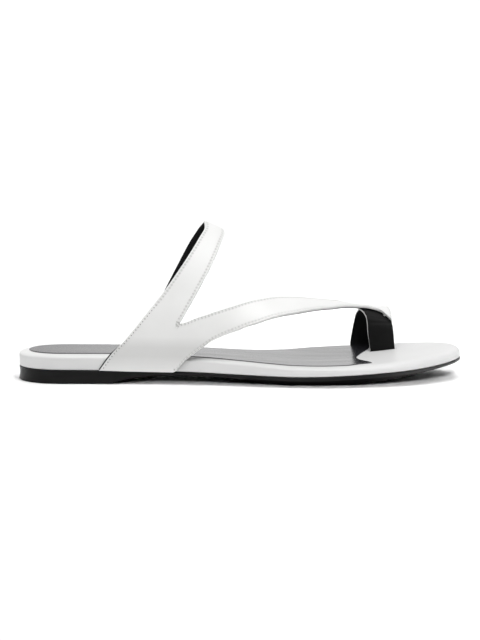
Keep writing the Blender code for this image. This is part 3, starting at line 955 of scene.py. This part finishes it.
def strap_at(table, rows, share):
    """Points on a strap, at places counted in its table's rows and at shares of the way across."""
    rear_station, rear_girth, front_station, front_girth = [
        along(table, column, rows)[:, None] for column in table.columns[1:]
    ]
    station = rear_station + share * (front_station - rear_station)
    return last(station, rear_girth + share * (front_girth - rear_girth))


def edge_columns(width):
    """Distances across a strip: close together at the two edges, even between."""
    near = np.array(EDGE_STEPS)
    middle = near[-1] + (width - 2 * near[-1]) * np.linspace(0, 1, MIDDLE_STEPS + 2)[1:-1]
    return np.concatenate([near, middle, width - near[::-1]])


def strap_grid(table, rows):
    """Points over a strap: a row for each place, with columns at fixed distances from its edges."""
    probe = np.linspace(0, 1, ACROSS_SAMPLES)
    share = []
    for line in strap_at(table, rows, probe):
        run = run_of(line)
        share.append(np.interp(edge_columns(run[-1]), run, probe))
    return strap_at(table, rows, np.array(share))


def even_rows(table, start, end):
    """Places along a strap, evenly spaced on its middle line."""
    rows = np.linspace(start, end, ALONG_SAMPLES)
    run = run_of(strap_at(table, rows, np.array([0.5]))[:, 0])
    return np.interp(np.linspace(0, run[-1], int(run[-1] / ROW_STEP) + 1), run, rows)


def upper_sheet():
    """Both straps as one sheet on the last, meeting along a line from the fork to the sole.

    Gives its points, quads, the point numbers of the instep strap and of the toe strap as grids, and the
    row of the instep strap that is at the fork.
    """
    rows = np.linspace(INSTEP_FORK, 0, SEAM_SAMPLES)
    run = run_of(strap_at(INSTEP, rows, np.array([1.0]))[:, 0])
    seam = np.interp(edge_columns(run[-1]), run, rows)[::-1]
    rest = even_rows(INSTEP, INSTEP_FORK, len(INSTEP.rows) - 1)[1:]
    instep = strap_grid(INSTEP, np.concatenate([seam, rest]))
    toe = strap_grid(TOE_STRAP, even_rows(TOE_STRAP, 0, len(TOE_STRAP.rows) - 1))
    away = ROW_STEP * np.arange(len(toe))[:, None, None]
    toe = (toe + np.clip(1 - away / SEAM_BLEND, 0, 1) * (instep[: len(seam), -1][::-1] - toe[0]))[1:]
    points = np.concatenate([instep.reshape(-1, 3), toe.reshape(-1, 3)])
    instep_index = np.arange(instep.size // 3).reshape(instep.shape[:2])
    toe_index = instep_index.size + np.arange(toe.size // 3).reshape(toe.shape[:2])
    toe_index = np.concatenate([instep_index[: len(seam), -1][None, ::-1], toe_index])
    faces = np.concatenate([grid_faces(instep_index), grid_faces(toe_index)])
    return points, faces, instep_index, toe_index, len(seam) - 1


def stitches_along(points, normals, numbers, others, bases):
    """Stitches of a row, as lines of points and normals, clear of the other edges and of the bases."""
    run = run_of(points[numbers])
    at = np.arange(0, run[-1], STITCH_GRAIN)
    place = points_at(at, run, points[numbers])
    up = unit(points_at(at, run, normals[numbers]))
    clear = (distance_to(place, others) > STITCH_CLEAR) & (distance_to(place, bases) > BASE_CLEAR)
    step = int(round(STITCH_PITCH / STITCH_GRAIN))
    starts = [k for k in range(0, len(place) - step, step) if clear[k] and clear[k + step]]
    return [(place[k : k + step + 1], up[k : k + step + 1]) for k in starts]


def pits_at(points, stitches):
    """Share of a pit's depth at each point, from the ends of the stitches near it."""
    holes = [place[end] for place, _ in stitches for end in (0, -1)]
    tree = kdtree.KDTree(len(holes))
    for number, hole in enumerate(holes):
        tree.insert(hole, number)
    tree.balance()
    gap = np.array([tree.find(point)[2] for point in points])
    return np.exp(-((gap / PIT_RADIUS) ** 2))


def build_upper(white, black, sewing):
    """White leather over a black lining, both shaped from one sheet, with a topstitch along the edges."""
    points, faces, instep, toe, fork = upper_sheet()
    normals = normals_of(points, faces)
    front = toe[:, -1]
    foot = points[front, 2] - along(SOLE, "sole_top", points[front, 0]) - GAP < LAYER_GAP
    edges = [points[line] for line in (instep[:, 0], instep[fork:, -1], toe[:, 0], front[~foot])]
    near_edge = distance_to(points, edges)
    outer_bases = [points[instep[0]], points[front[foot]]]
    bases = outer_bases + [points[instep[-1]], points[toe[-1]]]
    skive = np.clip(distance_to(points, bases) / SKIVE_LENGTH, 0, 1) ** SKIVE_POWER
    skive = SKIVE_SHARE + (1 - SKIVE_SHARE) * skive
    surface = STRAP_WALL * skive
    surface -= TROUGH_DEPTH * np.exp(-(((near_edge - STITCH_IN) / TROUGH_HALF) ** 2))
    outer = points + normals * surface[:, None]

    rows = [instep[fork:, STITCH_COLUMN], instep[fork:, -1 - STITCH_COLUMN]]
    rows += [toe[:, STITCH_COLUMN], toe[:, -1 - STITCH_COLUMN], instep[: fork + 1, STITCH_COLUMN]]
    pitted = tack_stitches(outer, normals, instep, toe, fork)
    for numbers, edge in zip(rows, edges + edges[:1]):
        others = [line for line in edges if line is not edge]
        stitches = stitches_along(outer, normals, numbers, others, bases)
        if numbers is not rows[-1]:
            pitted += stitches
    # Each pit's share gives both its depth and the painted shade in it
    pit = pits_at(outer, pitted) * np.interp(points[:, 0], PIT_FADE_STATION, (1, PIT_FADE))

    low = LINING_WALL * skive
    high = surface - round_edge(near_edge, STRAP_ROUND) - PIT_DEPTH * pit
    high = np.maximum(high, low + LEATHER_LEAST)
    lapped = points.copy()
    lap = LAP * np.interp(points[:, 0], LAP_STATION, (0, 1))
    lapped[:, 2] -= lap * np.clip(1 - distance_to(points, outer_bases) / LAP_FADE, 0, 1)
    made = add("strap_leather", *walled(lapped, faces, low + LAYER_GAP, high), white)
    attribute = made.data.attributes.new("pit", "FLOAT", "POINT")
    attribute.data.foreach_set("value", np.concatenate([np.zeros(len(pit)), pit]).astype(np.float32))
    shade_lipped = with_shade_lip(points, instep)
    lining = add("strap_lining", *walled(shade_lipped, faces, round_edge(near_edge, LINING_ROUND), low), black)
    return made, lining, build_threads(pitted + stitches, sewing), build_hole_shade(stitches, black)


def tack_stitches(outer, normals, instep, toe, fork):
    """Stitches of the bar tack, from the corner of the fork inwards."""
    corner = instep[fork, -1]
    beside = outer[instep[fork + TACK_LOOK_ROWS, -1]] + outer[toe[TACK_LOOK_ROWS, 0]]
    inward = unit(outer[corner] * 2 - beside)
    up = normals[corner]
    aside = np.cross(up, inward)
    runs = []
    for start, end, off in TACK.rows:
        reach = np.arange(start, end, STITCH_GRAIN)[:, None]
        runs.append((outer[corner] + reach * inward + off * aside, np.repeat(up[None], len(reach), axis=0)))
    return runs


def with_shade_lip(points, instep):
    """The sheet's points, with its rear edge drawn out a little near the sole, where the black lining
    stands as painted shade for the gap between strap and footbed.
    """
    made = points.copy()
    edge = points[instep[:, 0]]
    lip = SHADE_LIP * np.interp(edge[:, 2], SHADE_LIP_Z, (0, 1, 1, 0)) * (np.arange(len(edge)) < len(edge) // 2)
    outward = unit(edge - points[instep[:, STITCH_COLUMN]])
    for column, inside in enumerate(EDGE_STEPS):
        made[instep[:, column]] += outward * (lip * (1 - inside / EDGE_STEPS[-1]))[:, None]
    return made


def build_threads(runs, material):
    """A tube for each stitch, crowned over the leather and going down into a hole at both ends."""
    points = []
    faces = []
    for place, up in runs:
        at = np.linspace(0, 1, THREAD_RINGS)
        pick = np.linspace(0, len(place) - 1, THREAD_RINGS).round().astype(int)
        height = -THREAD_DIVE + (THREAD_DIVE + THREAD_CROWN) * np.sin(at * np.pi) ** THREAD_POWER
        line = place[pick] + up[pick] * height[:, None]
        side = unit(np.cross(up[pick], np.gradient(line, axis=0)))
        index = len(points) + np.arange(THREAD_RINGS * THREAD_SIDES).reshape(-1, THREAD_SIDES)
        faces += tube_faces(index)
        for k in range(THREAD_RINGS):
            ring = np.outer(np.cos(THREAD_TURNS), side[k]) + np.outer(np.sin(THREAD_TURNS), up[pick[k]])
            points += (line[k] + THREAD_RADIUS * ring).tolist()
    return add("strap_stitching", points, faces, material, THREAD_SHARP_DEG)


def build_hole_shade(runs, material):
    """Painted shade in the needle holes at both ends of each stitch: small dark studs nearly level with the
    leather.
    """
    points = []
    faces = []
    for place, up in runs:
        for end, following in ((0, 1), (-1, -2)):
            ahead = unit(place[following] - place[end])
            side = np.cross(up[end], ahead)
            ring = np.outer(np.cos(THREAD_TURNS), ahead) + np.outer(np.sin(THREAD_TURNS), side)
            turn = 1 if np.dot(np.cross(ahead, side), up[end]) > 0 else -1
            index = len(points) + np.arange(2 * THREAD_SIDES).reshape(-1, THREAD_SIDES)
            faces += [face[::turn] for face in tube_faces(index)]
            for height in (-HOLE_DEPTH, HOLE_LIFT):
                points += (place[end] + HOLE_RADIUS * ring + height * up[end]).tolist()
    return add("stitch_hole_shade", points, faces, material)


def build_toe_post(black, white):
    """A strip inside the last: black leather on both faces, with its pale core showing at the cut edges."""
    girth = np.linspace(TOE_POST.rows[0][0], TOE_POST.rows[-1][0], POST_STEPS + 1)
    rear = along(TOE_POST, "rear_station", girth)
    front = along(TOE_POST, "front_station", girth)
    edge = np.array(POST_EDGE_STEPS) / POST_WIDTH
    middle = np.linspace(edge[-1], 1 - edge[-1], POST_ACROSS + 2)[1:-1]
    share = np.concatenate([edge, middle, 1 - edge[::-1]])
    grid = last(rear[:, None] + share * (front - rear)[:, None], girth[:, None])
    points = grid.reshape(-1, 3)
    index = np.arange(len(points)).reshape(grid.shape[:2])
    faces = grid_faces(index)
    near_edge = distance_to(points, [points[index[:, 0]], points[index[:, -1]]])
    drop = round_edge(near_edge, POST_ROUND)
    across = np.tile(share - 0.5, len(girth))
    up = np.repeat(girth, len(share))
    crease = 0.0
    for at, slant, half, depth in POST_CREASES.rows:
        crease = crease + depth * np.exp(-(((up + slant * across - at) / half) ** 2))
    face_wall = (POST_WALL - POST_CORE) / 2
    outer_low = -GAP - face_wall
    inner_low = -GAP - POST_WALL
    first = walled(points, faces, outer_low, -GAP - np.maximum(drop, crease))
    second = walled(points, faces, inner_low + drop, inner_low + face_wall)
    both = np.concatenate([first[0], second[0]]), np.concatenate([first[1], second[1] + len(first[0])])
    skins = add("post_faces", *both, black)
    core = walled(points, faces, inner_low + face_wall + LAYER_GAP, outer_low - LAYER_GAP)
    return skins, add("post_core", *core, white)


# Studio


def build_floor():
    """A wide sheet of white acrylic under the sole."""
    mesh = bpy.data.meshes.new("floor")
    corners = [(x * FLOOR_SIDE, y * FLOOR_SIDE, FLOOR_Z) for x, y in ((-1, -1), (1, -1), (1, 1), (-1, 1))]
    mesh.from_pydata(corners, [], [(0, 1, 2, 3)])
    made = placed("floor", mesh)
    acrylic, tree, shader = new_material("floor_acrylic", specular=FLOOR_SPECULAR)
    shader.subsurface_method = "BURLEY"
    inputs = {
        "Base Color": FLOOR_COLOUR,
        "Roughness": FLOOR_ROUGHNESS,
        "Subsurface Weight": 1.0,
        "Subsurface Radius": (1.0, 1.0, 1.0),
        "Subsurface Scale": FLOOR_DEPTH_MM * METRE,
    }
    fill(tree, shader, inputs)
    mesh.materials.append(acrylic)
    return made


def build_world():
    """Soft light from all round: strongest from above and behind, weakest from below and in front."""
    world = bpy.data.worlds.new("studio")
    world.use_nodes = True
    tree = world.node_tree
    place = node(tree, "ShaderNodeTexCoord").outputs["Generated"]
    inputs = {0: axis_of(tree, place, "Z"), 1: WORLD_UP, 2: WORLD_EVEN}
    upright = node(tree, "ShaderNodeMath", inputs, operation="MULTIPLY_ADD").outputs[0]
    inputs = {0: axis_of(tree, place, "Y"), 1: WORLD_BACK, 2: upright}
    strength = node(tree, "ShaderNodeMath", inputs, operation="MULTIPLY_ADD", use_clamp=True).outputs[0]
    fill(tree, tree.nodes["Background"], {"Color": (1.0, 1.0, 1.0, 1.0), "Strength": strength})
    bpy.context.scene.world = world


def add_light(name, kind, **values):
    """A new light with its values set."""
    data = bpy.data.lights.new(name, kind)
    for key, value in values.items():
        setattr(data, key, value)
    return placed(name, data)


def stand_in_front(made, target, distance, rise_deg):
    """Turns an object to a target, and puts it in front of that at an angle above the floor."""
    rise = math.radians(rise_deg)
    x, y, z = target
    made.location = (x, y - distance * math.cos(rise), z + distance * math.sin(rise))
    made.rotation_euler = (math.pi / 2 - rise, 0.0, 0.0)


def grouped(name, members):
    """A collection of some objects."""
    made = bpy.data.collections.new(name)
    for member in members:
        made.objects.link(member)
    return made


def build_overhead():
    """A wide soft light above and a little to the front."""
    wide = math.radians(OVERHEAD_ANGLE_DEG)
    made = add_light("overhead", "SUN", energy=OVERHEAD_STRENGTH, angle=wide)
    made.rotation_euler = [math.radians(turn) for turn in OVERHEAD_TILT_DEG]


def build_front(lit, blocks):
    """A low soft spot on the floor before the ball and the toe, which only the sole blocks."""
    made = add_light(
        "front",
        "SPOT",
        energy=FRONT_WATTS,
        shadow_soft_size=FRONT_RADIUS,
        spot_size=math.radians(FRONT_CONE_DEG),
        spot_blend=FRONT_BLEND,
    )
    stand_in_front(made, FRONT_TARGET, FRONT_DISTANCE, FRONT_RISE_DEG)
    made.light_linking.receiver_collection = grouped("lit_by_front", lit)
    made.light_linking.blocker_collection = grouped("blocks_front", blocks)


def build_camera():
    """The photo's view, with its scale of millimetres to a pixel at the target."""
    data = bpy.data.cameras.new("camera")
    data.sensor_width = SENSOR
    data.lens = SENSOR * CAMERA_DISTANCE / (PIXEL_MM * METRE * IMAGE_HEIGHT)
    data.clip_end = CAMERA_REACH
    made = placed("camera", data)
    stand_in_front(made, CAMERA_TARGET, CAMERA_DISTANCE, CAMERA_RISE_DEG)
    bpy.context.scene.camera = made


white_leather = leather(
    "white_leather",
    light=(0.8, 0.8, 0.792),
    dark=(0.77, 0.77, 0.76),
    gloss=(0.4, 0.52),
    grain=0.7,
    grain_depth=0.02,
    pitted=True,
    painted_light=STRAP_PAINTED_SHADE,
    coat=0.05,
)
white_wrap = leather(
    "white_wrap",
    light=(0.78, 0.78, 0.778),
    dark=(0.755, 0.755, 0.751),
    gloss=(0.4, 0.5),
    grain=0.6,
    grain_depth=0.015,
    painted_light=WRAP_PAINTED_SHADE,
    coat=0.05,
)
black_sock = leather(
    "black_sock",
    light=(0.029, 0.029, 0.034),
    dark=(0.019, 0.019, 0.023),
    gloss=(0.16, 0.26),
    grain=0.8,
    grain_depth=0.012,
    shine=(0.05, 0.75),
    coat_roughness=0.16,
)
black_leather = leather(
    "black_leather",
    light=(0.01, 0.01, 0.01),
    dark=(0.005, 0.005, 0.005),
    gloss=(0.45, 0.6),
    grain=0.8,
    grain_depth=0.03,
    specular=0.12,
)
black_rubber = rubber(
    "black_rubber",
    light=(0.055, 0.055, 0.055),
    dark=(0.036, 0.036, 0.036),
    gloss=(0.3, 0.45),
    painted_light=RUBBER_PAINTED_LIGHT,
    specular=0.15,
)
white_thread = thread(
    "white_thread",
    light=(0.8, 0.8, 0.79),
    dark=(0.7, 0.7, 0.69),
    gloss=(0.5, 0.7),
    sheen=0.2,
)

sole_loop = outline(OUTLINE_POINTS)
outsole = build_outsole(sole_loop, black_rubber)
footbed = build_footbed(sole_loop, white_wrap)
insole = build_insole(sole_loop, black_sock)
straps, lining, stitching, holes = build_upper(white_leather, black_leather, white_thread)
post, core = build_toe_post(black_leather, white_leather)

PIECES = (
    (outsole, "outsole", "black_rubber"),
    (footbed, "footbed", "white_wrap"),
    (insole, "insole", "black_sock"),
    (straps, "upper", "white_leather"),
    (lining, None, "black_leather"),
    (stitching, None, "white_leather"),
    (holes, None, "black_leather"),
    (post, "toe_post", "black_leather"),
    (core, None, "white_leather"),
)
for piece, solid, slot in PIECES:
    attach(piece, "root")
    if solid:
        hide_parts(solid)

floor = build_floor()
build_world()
build_overhead()
build_front([floor], [outsole, footbed])
build_camera()
bpy.context.scene.view_settings.view_transform = "Standard"
